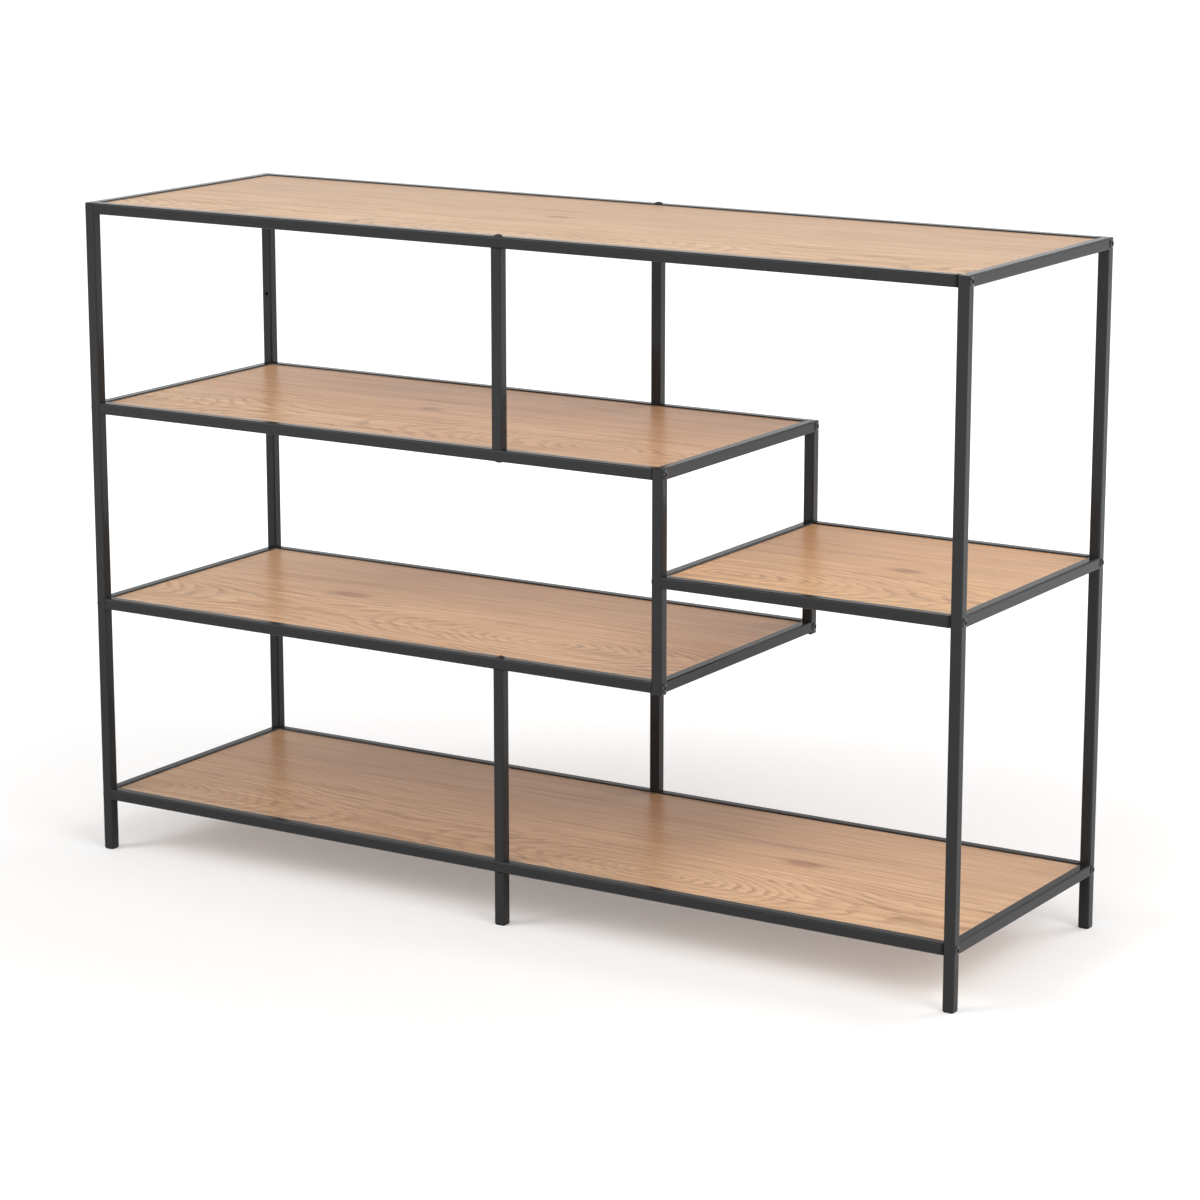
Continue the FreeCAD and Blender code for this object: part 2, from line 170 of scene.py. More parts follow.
print("shader helpers:", ", ".join(helper.__name__ for helper in (put, sums, noise, ease, mix_colours)))

# %% [markdown]
# ## Groups, materials and colours
#
# A node group is a function for shaders: it is built once, has named sockets, and is placed in each
# material with its own values. Colours are written as they look on a screen, from 0 to 255, and are turned
# into amounts of light, which is what a shader counts in.

# %% Helpers for groups and materials
FLOAT = "NodeSocketFloat"
COLOUR = "NodeSocketColor"
VECTOR = "NodeSocketVector"


def new_group(name, inputs, outputs):
    """An empty shader node group with named sockets.

    Returns it, its inputs by name and its output node.
    """
    group = bpy.data.node_groups.new(name, "ShaderNodeTree")
    for socket, kind in inputs.items():
        group.interface.new_socket(socket, in_out="INPUT", socket_type=kind)
    for socket, kind in outputs.items():
        group.interface.new_socket(socket, in_out="OUTPUT", socket_type=kind)
    given = group.nodes.new("NodeGroupInput").outputs
    return group, given, group.nodes.new("NodeGroupOutput")


def send(tree, target, feeds):
    """Links every feed to the target's socket of that name."""
    for socket, feed in feeds.items():
        tree.links.new(feed, target.inputs[socket])


def new_material(name, constants):
    """A material with a Principled shader, whose plain sockets are set.

    Returns it, its tree and the shader.
    """
    material = bpy.data.materials.new(name)
    material.use_nodes = True
    tree = material.node_tree
    shader = tree.nodes["Principled BSDF"]
    for socket, value in constants.items():
        shader.inputs[socket].default_value = value
    return material, tree, shader


def use_group(tree, shader, group, values, depth):
    """A group in a material, on Object coordinates, whose colour, roughness and height feed the shader.

    The height goes through a Bump node and is as deep as given, in metres.
    """
    place = put(tree, "ShaderNodeTexCoord").outputs["Object"]
    figure = put(tree, "ShaderNodeGroup", {"Place": place, **values}, node_tree=group).outputs
    bump = put(tree, "ShaderNodeBump", {"Height": figure["Height"], "Distance": depth}).outputs[0]
    send(tree, shader, {"Base Color": figure["Color"], "Roughness": figure["Roughness"], "Normal": bump})


def colour(red, green, blue):
    """A colour as it is seen on a screen, 0 to 255, turned into light by the sRGB curve."""
    seen = np.array([red, green, blue]) / 255
    light = np.where(seen <= 0.04045, seen / 12.92, ((seen + 0.055) / 1.055) ** 2.4)
    return (*light, 1.0)


print(f"128 on a screen is {colour(128, 128, 128)[0]:.3f} of the light of white")

# %% [markdown]
# ## Oak decor
#
# The boards are wrapped in a printed foil that copies flat-sawn oak: nested arches along the front, where
# the saw ran close to the heart of the log, and plain straight grain behind. A photograph could be wrapped
# round the boards, but a formula has no seams and no fixed size. So the log is worked out, in millimetres.
# Nothing that grows is straight, so the first thing it needs is noise, each with lumps of its own size.

# %% The noises of the grain
# Size of the lumps along, across and through the board in mm, shift of the board's seed, and detail
LUMPS = {
    "heart line": ((380, 170, 0), 1.0, 2.0),
    "heart depth": ((150, 0, 0), 2.0, 2.0),
    "fine waver": ((34, 6, 0), 3.0, 2.0),
    "broad waver": ((130, 30, 0), 4.0, 2.0),
    "patch": ((120, 22, 0), 5.0, 2.0),
    "streak": ((320, 9, 40), 11.0, 4.0),
    "thread": ((130, 2.2, 10), 13.0, 3.0),
    "pore": ((13, 0.7, 4), 17.0, 2.0),
    "dash": ((24, 0.9, 4), 19.0, 3.0),
}


def lumps(tree, place, seed, kind):
    """One of the noises of the grain, from 0 to 1."""
    size, shift, detail = LUMPS[kind]
    return noise(tree, place, size, sums(tree, "ADD", seed, shift), detail)


def swing(tree, place, seed, kind, span):
    """One of the noises of the grain, swinging about zero over a span."""
    level = lumps(tree, place, seed, kind)
    return sums(tree, "MULTIPLY", sums(tree, "SUBTRACT", level, 0.5), span)


longest = max(LUMPS, key=lambda kind: LUMPS[kind][0][0])
print(f"{len(LUMPS)} noises, the longest for the {longest} with {LUMPS[longest][0][0]} mm")

# %% [markdown]
# ## Rings round a heart
#
# The rings of the log are tubes round its heart. Where the heart lies level, the saw leaves straight lines,
# and where it dips through the board, the lines close to arches. So the distance from a heart that swings
# up and down along the board gives the ring lines, and a knot pushes them aside.

# %% The oak figure: rings round a heart
RING_WIDTH = 7.2
HEART_RISE = 90.0
HEART_SLOPE = 0.4
LINE_SWING = 50.0
DEPTH_SWING = 30.0
WAVERS = {"fine waver": 6.0, "broad waver": 16.0}
KNOT_PUSH = 9.0
LINE_FADE = (0.05, 0.55)
LINE_RISE = (0.9, 1.0)
PATCH_EDGE = (0.3, 0.7)
FAINT_PATCH = 0.2


def heart_distance(tree, place, given):
    """How far a place is from the heart, and how far across from it.

    The heart lies along X at its line, and its depth below the face is rise sin(slope (x - crossing) / rise).
    """
    seed = given["Seed"]
    x, y, _ = put(tree, "ShaderNodeSeparateXYZ", {0: place}).outputs
    across = sums(tree, "SUBTRACT", y, given["Heart Line"])
    across = sums(tree, "ADD", across, swing(tree, place, seed, "heart line", LINE_SWING))
    turn = sums(tree, "MULTIPLY", sums(tree, "SUBTRACT", x, given["Crossing"]), HEART_SLOPE / HEART_RISE)
    depth = sums(tree, "MULTIPLY", sums(tree, "SINE", turn), HEART_RISE)
    depth = sums(tree, "ADD", depth, swing(tree, place, seed, "heart depth", DEPTH_SWING))
    square = sums(tree, "MULTIPLY_ADD", across, across, sums(tree, "MULTIPLY", depth, depth))
    distance = sums(tree, "SQRT", square)
    for kind, span in WAVERS.items():
        distance = sums(tree, "ADD", distance, swing(tree, place, seed, kind, span))
    return distance, across


def ring_lines(tree, place, given, knot):
    """Dark ring lines from 0 to 1, and how far a place is across from the heart.

    A ring's number is the distance from the heart by the width of a ring. Its line is dark at a whole
    number and fades towards the next one, and it is fainter in patches.
    """
    distance, across = heart_distance(tree, place, given)
    distance = sums(tree, "MULTIPLY_ADD", knot, KNOT_PUSH, distance)
    part = sums(tree, "FRACT", sums(tree, "DIVIDE", distance, RING_WIDTH))
    line = sums(tree, "MAXIMUM", ease(tree, part, *LINE_FADE, 1.0, 0.0), ease(tree, part, *LINE_RISE))
    patch = ease(tree, lumps(tree, place, given["Seed"], "patch"), *PATCH_EDGE, FAINT_PATCH, 1.0)
    return sums(tree, "MULTIPLY", line, patch), across


print(f"a ring every {RING_WIDTH} mm round a heart that swings {HEART_RISE:.0f} mm up and down")

# %% [markdown]
# ## Streaks, pores and the tones between them
#
# A ring line alone looks like a contour map. Real oak has pores too, short dark dashes along the grain, and
# streaks in which the tone drifts, and it breaks the ring lines into dashes as well. All of these are noise,
# stretched along the board. The print is also greyer towards the rear, away from the arches, where its
# lines are fine and close.

# %% The oak figure: tones and pores
ARCH_REACH = 45.0
PLAIN_REACH = 150.0
WARM_EDGE = (0.36, 0.66)
REAR_SHARE = 0.75
THREAD_EDGE = (0.42, 0.7)
THREAD_SHARE = 0.5
DASH_EDGE = (0.34, 0.62)
FAINT_DASH = 0.45
ARCH_LINE = 0.85
PLAIN_LINE = 0.42
PORE_EDGE = (0.58, 0.72)
PORE_SHARE = 0.25


def grain_marks(tree, place, given, knot):
    """The marks of the grain by name: ring lines broken into dashes, streaks, threads and pores."""
    seed = given["Seed"]
    line, across = ring_lines(tree, place, given, knot)
    dash = ease(tree, lumps(tree, place, seed, "dash"), *DASH_EDGE, FAINT_DASH, 1.0)
    return {
        "across": across,
        "line": sums(tree, "MULTIPLY", line, dash),
        "streak": lumps(tree, place, seed, "streak"),
        "thread": lumps(tree, place, seed, "thread"),
        "pore": ease(tree, lumps(tree, place, seed, "pore"), *PORE_EDGE),
    }


def grain_tone(tree, given, marks):
    """Light wood that is warmer in the streaks and greyer at the rear, and darker on every mark."""
    warm = ease(tree, marks["streak"], *WARM_EDGE)
    tone = mix_colours(tree, warm, given["Light Wood"], given["Warm Wood"])
    rear = ease(tree, marks["across"], ARCH_REACH, PLAIN_REACH + ARCH_REACH, 0.0, REAR_SHARE)
    tone = mix_colours(tree, rear, tone, given["Rear Wood"])
    far = ease(tree, sums(tree, "ABSOLUTE", marks["across"]), ARCH_REACH, PLAIN_REACH)
    thread = ease(tree, marks["thread"], *THREAD_EDGE, 0.0, THREAD_SHARE)
    line = sums(tree, "MULTIPLY", marks["line"], ease(tree, far, 0.0, 1.0, ARCH_LINE, PLAIN_LINE))
    pore = sums(tree, "MULTIPLY", marks["pore"], PORE_SHARE)
    for share in (thread, line, pore):
        tone = mix_colours(tree, share, tone, given["Dark Line"])
    return tone


print(f"arches reach {ARCH_REACH:.0f} mm from the heart, plain grain starts at {PLAIN_REACH:.0f} mm")

# %% [markdown]
# ## Knots, and painted shade
#
# Each board has one knot in view: a red-brown eye with a darker rim, and a long dark streak beside it. A
# soft spot that is drawn out along the grain makes both. The group also takes a share of painted shade,
# which darkens the wood towards the board's left end: on the bottom board it paints in the shade that the
# lower shelf casts on it.

# %% The oak figure: knots and painted shade
KNOT_STRETCH = 2.4
KNOT_TONE = colour(152, 96, 70)
KNOT_SHARE = 0.62
KNOT_EDGE = (0.2, 0.75)
RIM_SHARE = 1.5
STREAK_STRETCH = 11.0
STREAK_SHIFT = (-38.0, 48.0, 0.0)
STREAK_EDGE = (0.3, 0.7)
STREAK_SHARES = (0.1, 0.7)
# Painted shade: the wood darkens between these places along X, in mm, towards this tone, where the lower
# shelf shades the bottom board
PAINTED_SHADE_START = 300.0
PAINTED_SHADE_END = 100.0
PAINTED_SHADE_TONE = (0.62, 0.58, 0.55, 1.0)


def knot_mask(tree, place, centre, size, stretch):
    """A soft spot, 1 at its middle, that is drawn out along the grain: exp(-(along^2 + across^2))."""
    apart = put(tree, "ShaderNodeVectorMath", {0: place, 1: centre}, operation="SUBTRACT").outputs[0]
    along, across, _ = put(tree, "ShaderNodeSeparateXYZ", {0: apart}).outputs
    along = sums(tree, "DIVIDE", along, sums(tree, "MULTIPLY", size, stretch))
    across = sums(tree, "DIVIDE", across, size)
    square = sums(tree, "MULTIPLY_ADD", along, along, sums(tree, "MULTIPLY", across, across))
    return sums(tree, "EXPONENT", sums(tree, "MULTIPLY", square, -1.0))


def add_knot(tree, place, given, tone, knot, thread):
    """The tone with a knot in it. Its rim is darkest where the mask times its rest to 1 is largest."""
    dark = given["Dark Line"]
    eye = ease(tree, knot, *KNOT_EDGE, 0.0, KNOT_SHARE)
    tone = mix_colours(tree, eye, tone, KNOT_TONE)
    rim = sums(tree, "MULTIPLY", knot, sums(tree, "SUBTRACT", 1.0, knot))
    tone = mix_colours(tree, sums(tree, "MULTIPLY", rim, RIM_SHARE), tone, dark)
    feeds = {0: given["Knot"], 1: STREAK_SHIFT}
    beside = put(tree, "ShaderNodeVectorMath", feeds, operation="ADD").outputs[0]
    streak = knot_mask(tree, place, beside, given["Knot Size"], STREAK_STRETCH)
    streak = sums(tree, "MULTIPLY", streak, ease(tree, thread, *STREAK_EDGE, *STREAK_SHARES))
    return mix_colours(tree, streak, tone, dark)


def add_painted_shade(tree, place, given, tone):
    """The tone, darkened by a share of painted shade from its start to its end along X."""
    x = put(tree, "ShaderNodeSeparateXYZ", {0: place}).outputs[0]
    painted_shade = sums(tree, "MULTIPLY", given["Painted Shade"], ease(tree, x, PAINTED_SHADE_END, PAINTED_SHADE_START, 1.0, 0.0))
    return mix_colours(tree, painted_shade, tone, PAINTED_SHADE_TONE, "MULTIPLY")


print(f"a knot is {KNOT_STRETCH} times as long as it is wide, the streak beside it {STREAK_STRETCH} times")

# %% [markdown]
# ## The figure as one group
#
# A group can be used by five materials, so the whole figure goes into one. It puts out a colour, a
# roughness and a height. Pores and ring lines are pressed into the foil a little, and a pore is rougher
# than the satin around it.

# %% The oak figure: the group
PORE_DENT = -0.7
LINE_DENT = -0.3
STREAK_RANGE = (0.2, 0.8)
SATIN_RANGE = (0.3, 0.36)
PORE_ROUGHNESS = 0.1
OAK_INPUTS = {
    "Place": VECTOR,
    "Seed": FLOAT,
    "Heart Line": FLOAT,
    "Crossing": FLOAT,
    "Knot": VECTOR,
    "Knot Size": FLOAT,
    "Painted Shade": FLOAT,
    "Light Wood": COLOUR,
    "Warm Wood": COLOUR,
    "Rear Wood": COLOUR,
    "Dark Line": COLOUR,
}
SURFACE_OUTPUTS = {"Color": COLOUR, "Roughness": FLOAT, "Height": FLOAT}


def make_oak_group():
    """The whole figure: ring lines, streaks, pores and a knot, as a colour, a roughness and a height."""
    group, given, result = new_group("oak_figure", OAK_INPUTS, SURFACE_OUTPUTS)
    feeds = {0: given["Place"], "Scale": 1 / MM}
    place = put(group, "ShaderNodeVectorMath", feeds, operation="SCALE").outputs[0]
    knot = knot_mask(group, place, given["Knot"], given["Knot Size"], KNOT_STRETCH)
    marks = grain_marks(group, place, given, knot)
    tone = grain_tone(group, given, marks)
    tone = add_knot(group, place, given, tone, knot, marks["thread"])
    # painted shade towards the board's left end
    tone = add_painted_shade(group, place, given, tone)
    dents = sums(group, "MULTIPLY", marks["line"], LINE_DENT)
    dents = sums(group, "MULTIPLY_ADD", marks["pore"], PORE_DENT, dents)
    satin = ease(group, marks["streak"], *STREAK_RANGE, *SATIN_RANGE)
    rough = sums(group, "MULTIPLY_ADD", marks["pore"], PORE_ROUGHNESS, satin)
    send(group, result, {"Color": tone, "Roughness": rough, "Height": dents})
    return group


oak_group = make_oak_group()
print(f"oak_figure: {len(oak_group.nodes)} nodes")

# %% [markdown]
# ## Five boards, one decor
#
# The boards come from one roll of foil, and each has its own stretch of it: another seed, another place
# where the heart crosses the face, another knot. Object coordinates are metres in the shelf's own frame,
# which keeps the figure at its real scale on every board.

# %% Dress the boards
PORE_DEPTH = 0.05 * MM
FOIL = {"Specular IOR Level": 0.4}
WOOD = {
    "Light Wood": colour(231, 192, 149),
    "Warm Wood": colour(219, 175, 130),
    "Rear Wood": colour(212, 171, 135),
    "Dark Line": colour(154, 108, 73),
}
GOLDEN = {"Light Wood": colour(239, 193, 139), "Rear Wood": colour(220, 173, 129)}
FIGURES = {
    "top": {"Seed": 1.0, "Heart Line": -128.0, "Crossing": 60.0, "Knot": (-36.0, 11.0, 0.0)},
    "upper": {"Seed": 2.0, "Heart Line": -104.0, "Crossing": 80.0, "Knot": (-210.0, 5.0, 0.0)},
    "small": {"Seed": 3.0, "Heart Line": -112.0, "Crossing": 270.0, "Knot": (417.0, -3.0, 0.0)},
    "lower": {"Seed": 4.0, "Heart Line": -84.0, "Crossing": 10.0, "Knot": (-327.0, 4.0, 0.0)},
    "bottom": {"Seed": 5.0, "Heart Line": -120.0, "Crossing": 175.0, "Knot": (293.0, 3.0, 0.0)},
}
KNOT_SIZES = {"top": 5.5, "upper": 6.0, "small": 7.5, "lower": 10.0, "bottom": 9.0}
# The bottom board gets painted shade towards its left end, where the lower shelf above shades it
TONES = {"small": GOLDEN, "bottom": {"Painted Shade": 0.75}}


def make_oak(name, figure):
    """The oak decor with one board's own stretch of the figure."""
    material, tree, shader = new_material(name, FOIL)
    use_group(tree, shader, oak_group, figure, PORE_DEPTH)
    return material


def dress(node, material):
    """Gives a node of the construction one material all over."""
    mesh = nodes[node].data
    mesh.materials.clear()
    mesh.materials.append(material)


for shelf, figure in FIGURES.items():
    own = {**WOOD, **figure, "Knot Size": KNOT_SIZES[shelf], **TONES.get(shelf, {})}
    dress(f"{shelf}_board", make_oak(f"oak_{shelf}", own))
print(f"{len(FIGURES)} boards dressed")

# %% [markdown]
# ## Powder coat
#
# Powder coat is melted on, and sets with a fine orange peel: small soft hills that blur every reflection.
# The same hills, finer, are on the moulded plastic of the feet and on the blackened bolts, so they are a
# node group with their number to the metre as an input.

# %% The grain of a coat as a node group
PALER = (1.5, 1.5, 1.5, 1.0)
PALE_EDGE = (0.45, 0.75)
PALE_SHARE = 0.35
HILL_DETAIL = 2.0
CLOUD_SIZE = (0.12, 0.12, 0.12)
CLOUD_SEED = 2.0
CLOUD_SPAN = 0.1
COAT_INPUTS = {"Place": VECTOR, "Grain": FLOAT, "Tone": COLOUR, "Base Roughness": FLOAT}


def make_coat_group():
    """Soft hills, paler on top, on a surface whose roughness changes slowly over the piece."""
    group, given, result = new_group("coat_grain", COAT_INPUTS, SURFACE_OUTPUTS)
    feeds = {"Vector": given["Place"], "Scale": given["Grain"], "Detail": HILL_DETAIL}
    hills = put(group, "ShaderNodeTexNoise", feeds).outputs[0]
    pale = ease(group, hills, *PALE_EDGE, 0.0, PALE_SHARE)
    tone = mix_colours(group, pale, given["Tone"], PALER, "MULTIPLY")
    clouds = noise(group, given["Place"], CLOUD_SIZE, CLOUD_SEED)
    change = sums(group, "MULTIPLY", sums(group, "SUBTRACT", clouds, 0.5), CLOUD_SPAN)
    rough = sums(group, "ADD", given["Base Roughness"], change)
    send(group, result, {"Color": tone, "Roughness": rough, "Height": hills})
    return group


coat_group = make_coat_group()
print(f"coat_grain: {len(coat_group.nodes)} nodes")

# %% [markdown]
# ## Dressing the steel and the plastic
#
# The tubes keep the shape that the construction gave them, rounded edges and all. Only their finish is
# new. The nut blocks and studs inside the tubes are zinc plated, so that someone who takes the shelf
# apart finds what they expect.

# %% Dress the tubes, tabs, plastic and hidden steel
SHEEN = {"Specular IOR Level": 0.18}
BARE_METAL = {"Metallic": 1.0}
FINE_PEEL = 0.01 * MM
COARSE_PEEL = 0.02 * MM


def make_coated(name, tone, rough, grain, depth, constants):
    """A coated surface: a tone, how rough it is, and hills of so many to the metre and so deep."""
    material, tree, shader = new_material(name, constants)
    values = {"Tone": tone, "Base Roughness": rough, "Grain": grain}
    use_group(tree, shader, coat_group, values, depth)
    return material


powder_coat = make_coated(
    "anthracite_powder_coat",
    colour(39, 39, 40),
    rough=0.17,
    grain=1400.0,
    depth=FINE_PEEL,
    constants=SHEEN,
)
black_plastic = make_coated(
    "black_plastic",
    colour(18, 18, 19),
    rough=0.45,
    grain=2500.0,
    depth=COARSE_PEEL,
    constants=SHEEN,
)
zinc = make_coated(
    "zinc_plate",
    colour(196, 198, 200),
    rough=0.34,
    grain=900.0,
    depth=FINE_PEEL,
    constants=BARE_METAL,
)
FINISHES = {"frame_tube": powder_coat, "plastic": black_plastic, "hidden_steel": zinc}

dressed = {}
for subpart in frame["record"]["subparts"]:
    slot = subpart["material_slot"]
    if slot in FINISHES:
        dress(subpart["node"], FINISHES[slot])
        dressed[slot] = dressed.get(slot, 0) + 1
print(f"dressed by slot: {dressed}")

# %% [markdown]
# ## Pieces from arrays
#
# The fasteners are new pieces. Their surfaces are grids of points, rows by columns, worked out as whole
# arrays. A grid that runs round an axis meets itself at a seam and shrinks to a point at its poles, so
# points that coincide are merged, and the normals are then turned outwards.

# %% Surfaces from grids
MERGE_REACH = 0.002 * MM
SHARP_ANGLE = 35.0


def grid_faces(rows, columns):
    """Quads between neighbouring points of a grid stored row by row."""
    row, column = np.meshgrid(np.arange(rows - 1), np.arange(columns - 1), indexing="ij")
    corner = row * columns + column
    return np.stack([corner, corner + 1, corner + columns + 1, corner + columns], axis=-1).reshape(-1, 4)


def copies(points, faces, turns, places):
    """One shape at many places: its points turned and moved, and its faces numbered on."""
    placed = np.einsum("nij,pj->npi", turns, points) + places[:, None, :]
    numbered = faces[None] + (np.arange(len(places)) * len(points))[:, None, None]
    return placed.reshape(-1, 3), numbered.reshape(-1, faces.shape[1])


def add_piece(name, points, faces, material, slot, replaced=()):
    """A mesh piece of the shelf from arrays of points and faces, closed, with its normals outward."""
    mesh = bpy.data.meshes.new(name)
    mesh.from_pydata(points.tolist(), [], faces.tolist())
    shape = bmesh.new()
    shape.from_mesh(mesh)
    bmesh.ops.remove_doubles(shape, verts=shape.verts, dist=MERGE_REACH)
    bmesh.ops.dissolve_degenerate(shape, edges=shape.edges, dist=MERGE_REACH)
    bmesh.ops.recalc_face_normals(shape, faces=shape.faces)
    shape.to_mesh(mesh)
    shape.free()
    mesh.materials.append(material)
    mesh.shade_smooth()
    mesh.set_sharp_from_angle(angle=math.radians(SHARP_ANGLE))
    piece = bpy.data.objects.new(name, mesh)
    scene.collection.objects.link(piece)
    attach(piece, "root")
    if replaced:
        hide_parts(*replaced)
    print(f"{name}: {len(mesh.polygons)} faces")


print(f"a grid of 3 by 4 points has {len(grid_faces(3, 4))} quads")

# %% [markdown]
# ## Bolts with sockets
#
# A bolt is a turned piece, so it is one profile carried round its axis. A hexagon could be cut out of a
# plain head, but such a cut leaves ragged faces. Here the socket is part of the grid: its rows have the
# radius of a hexagon, and the rows of the domed head blend from there to a circle.

# %% The bolt's head
BOLT_COLUMNS = 36
HEAD_RADIUS = 4.9
HEAD_HEIGHT = 2.0
HEAD_RIM = 0.6
SOCKET_HALF_WIDTH = 2.0
SOCKET_FLOOR = 0.6
SOCKET_LEAD = 0.2
SHANK_RADIUS = 2.75
DOME_ROWS = 6


def hexagon(angle, half_width):
    """The radius of a hexagon at an angle, from half its width across the flats."""
    sector = np.mod(angle, math.tau / 6) - math.tau / 12
    return half_width / np.cos(sector)


def dome(radius, rim_radius, rim_height, height):
    """The height of a low dome: a ball's cap that rises from a rim to a height over its middle."""
    rise = height - rim_height
    ball = (rim_radius**2 + rise**2) / (2 * rise)
    return np.sqrt(ball**2 - radius**2) - ball + height


def head_rows(angle):
    """Rows of radius and height, from the socket's floor out over the dome and in to the shank."""
    round_row = np.ones_like(angle)
    socket = hexagon(angle, SOCKET_HALF_WIDTH)
    mouth = socket + SOCKET_LEAD
    mouth_height = dome(mouth, HEAD_RADIUS, HEAD_RIM, HEAD_HEIGHT)
    rows = [
        (0 * round_row, SOCKET_FLOOR * round_row),
        (socket, SOCKET_FLOOR * round_row),
        (socket, mouth_height - SOCKET_LEAD),
        (mouth, mouth_height),
    ]
    for share in np.linspace(0, 1, DOME_ROWS)[1:]:
        radius = mouth + share * (HEAD_RADIUS - mouth)
        rows.append((radius, dome(radius, HEAD_RADIUS, HEAD_RIM, HEAD_HEIGHT)))
    rows.append((HEAD_RADIUS * round_row, 0 * round_row))
    rows.append((SHANK_RADIUS * round_row, 0 * round_row))
    return rows


bolt_angle = np.linspace(0, math.tau, BOLT_COLUMNS + 1)
print(f"bolt head: {len(head_rows(bolt_angle))} rows, {2 * HEAD_RADIUS:.1f} mm wide, {HEAD_HEIGHT} mm high")

# %% [markdown]
# ## The thread
#
# A thread isn't round either: it climbs by one pitch in a turn. A Screw modifier could wind it, but then it
# would be a piece of its own. Rows that climb as they go round carry the grid on from the head to the tip,
# and crests and roots are rows in turn.

# %% The bolt's shank and thread
SHANK_LENGTH = 25.0
THREAD_START = 7.0
THREAD_PITCH = 1.0
THREAD_DEPTH = 0.45
TIP_LENGTH = 0.8
# Half turns that a row can run past either end of the thread, where it is held back to that end
SPARE_HALF_TURNS = 2


def shank_rows(angle):
    """Rows of radius and height along the thread to the tip.

    A point at turn u climbs by pitch times u / tau, crests and roots take turns by the half pitch, and the
    thread fades out at both ends.
    """
    round_row = np.ones_like(angle)
    rows = [(SHANK_RADIUS * round_row, -THREAD_START * round_row)]
    root = SHANK_RADIUS - THREAD_DEPTH
    thread_end = SHANK_LENGTH - TIP_LENGTH
    half_turns = int(2 * (thread_end - THREAD_START) / THREAD_PITCH)
    for step in range(-SPARE_HALF_TURNS, half_turns + SPARE_HALF_TURNS):
        climb = THREAD_START + THREAD_PITCH * (step / 2 + angle / math.tau)
        depth = np.clip(climb, THREAD_START, thread_end)
        fade = np.clip(np.minimum(depth - THREAD_START, thread_end - depth) / THREAD_PITCH, 0, 1)
        rows.append((root + THREAD_DEPTH * fade * (step % 2), -depth))
    rows.append(((root - TIP_LENGTH) * round_row, -SHANK_LENGTH * round_row))
    rows.append((0 * round_row, -SHANK_LENGTH * round_row))
    return rows


def bolt_grid(angle):
    """The bolt's points and faces: every row of radius and height carried round the axis."""
    rows = head_rows(angle) + shank_rows(angle)
    radius, height = (np.array(part) for part in zip(*rows))
    points = np.stack([radius * np.cos(angle), radius * np.sin(angle), height], axis=-1)
    return points.reshape(-1, 3) * MM, grid_faces(len(rows), len(angle))


bolt_points, bolt_faces = bolt_grid(bolt_angle)
print(f"one bolt: {len(bolt_faces)} faces, {np.ptp(bolt_points[:, 2]) / MM:.1f} mm long")

# %% [markdown]
# ## Where the bolts go
#
# Every end of a long rail is held by a bolt whose head sits on the far face of the post. The centre posts
# are held by bolts through the long rails: from above on the top and lower shelves, from below on the
# upper one. A turn is a matrix whose last column is the way the head points.

# %% Place the bolts
UP = np.eye(3)
DOWN = np.diag([1.0, -1.0, -1.0])
RIGHT = np.array([[0.0, 0.0, 1.0], [0.0, 1.0, 0.0], [-1.0, 0.0, 0.0]])
LEFT = np.array([[0.0, 0.0, -1.0], [0.0, 1.0, 0.0], [1.0, 0.0, 0.0]])

bolt_finish = make_coated(
    "black_bolt",
    colour(44, 45, 47),
    rough=0.2,
    grain=3000.0,
    depth=FINE_PEEL,
    constants={},
)
rail_bolt_places = []
rail_bolt_turns = []
for shelf, (start, end) in SHELVES.items():
    for row in ROWS:
        _, y, z = middle(f"{shelf}_{row}_rail")
        rail_bolt_places.append((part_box(f"{start}_{row}_post")[0].x, y, z))
        rail_bolt_turns.append(LEFT)
        rail_bolt_places.append((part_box(f"{end}_{row}_post")[1].x, y, z))
        rail_bolt_turns.append(RIGHT)
placed = copies(bolt_points, bolt_faces, np.array(rail_bolt_turns), np.array(rail_bolt_places))
add_piece("rail_joint_bolts", *placed, bolt_finish, "bolt", ["rail_bolts"])

centre_places = []
centre_turns = []
for row in ROWS:
    x, y, _ = middle(f"upper_centre_{row}_post")
    for shelf, side, turn in (("top", 1, UP), ("upper", 0, DOWN), ("lower", 1, UP)):
        centre_places.append((x, y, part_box(f"{shelf}_{row}_rail")[side].z))
        centre_turns.append(turn)
placed = copies(bolt_points, bolt_faces, np.array(centre_turns), np.array(centre_places))
add_piece("centre_joint_bolts", *placed, bolt_finish, "bolt", ["centre_post_bolts"])

# %% [markdown]
# ## Screws under the boards
#
# Every board rests on small tabs, and a screw through each tab holds it down. Only someone who looks up
# from the floor sees them: low domed heads with a cross recess. The head is a height over a disc, and the
# recess is taken away from that height where a point lies in one of two crossed slots.

# %% One screw head
SCREW_COLUMNS = 48
SCREW_ROWS = 14
SCREW_RADIUS = 3.6
SCREW_HEIGHT = 1.7
SCREW_RIM = 0.4
SLOT_HALF_WIDTH = 0.45
SLOT_LENGTH = 1.9
SLOT_DEPTH = 1.0
SLOT_EDGE = 0.25


